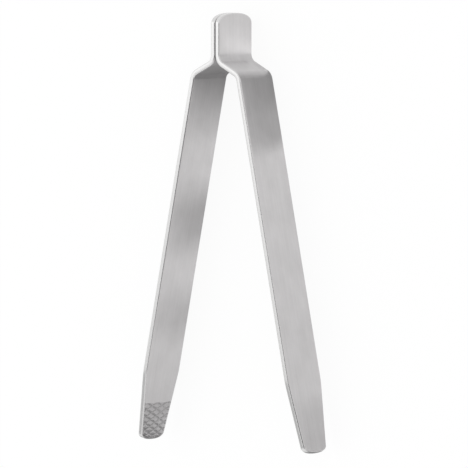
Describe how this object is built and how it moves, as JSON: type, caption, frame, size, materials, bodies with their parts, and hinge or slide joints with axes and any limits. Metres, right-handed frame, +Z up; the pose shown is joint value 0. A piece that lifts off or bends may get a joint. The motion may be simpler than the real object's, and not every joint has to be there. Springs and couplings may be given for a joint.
{
  "type": "kitchen tongs",
  "caption": "Kitchen tongs of bent stainless straps welded face to face at a short tab, with wide shoulders, springy splayed blades and tapered tips with a criss-cross grip.",
  "frame": {"origin": "centre of the bounding box at the level of the long lower edges that the tongs lie on", "axes": "+X along the tongs from the tips to the tab, +Y across the opening towards the left strap, +Z up across the width of the strip"},
  "size_m": [0.24, 0.13, 0.0261],
  "materials": {
    "strap_steel": "satin stainless, brushed along the strap, with bright rounded edges",
    "weld_steel": "dull grey weld metal, hidden in the seam"
  },
  "bodies": {
    "head": {"left_tab": "strap_steel", "right_tab": "strap_steel", "upper_spot_weld": "weld_steel", "lower_spot_weld": "weld_steel"},
    "left_arm": {"left_blade": "strap_steel"},
    "right_arm": {"right_blade": "strap_steel"}
  },
  "joints": [
    {"name": "left_flex", "type": "hinge", "parent": "head", "child": "left_arm", "pos_m": [0.08294, 0.01646, 0.01305], "axis": [0, 0, 1], "range_deg": [0, 17.1], "stiffness_Nm_per_rad": 8},
    {"name": "right_flex", "type": "hinge", "parent": "head", "child": "right_arm", "pos_m": [0.08294, -0.01646, 0.01305], "axis": [0, 0, -1], "range_deg": [0, 17.1], "stiffness_Nm_per_rad": 8}
  ]
}
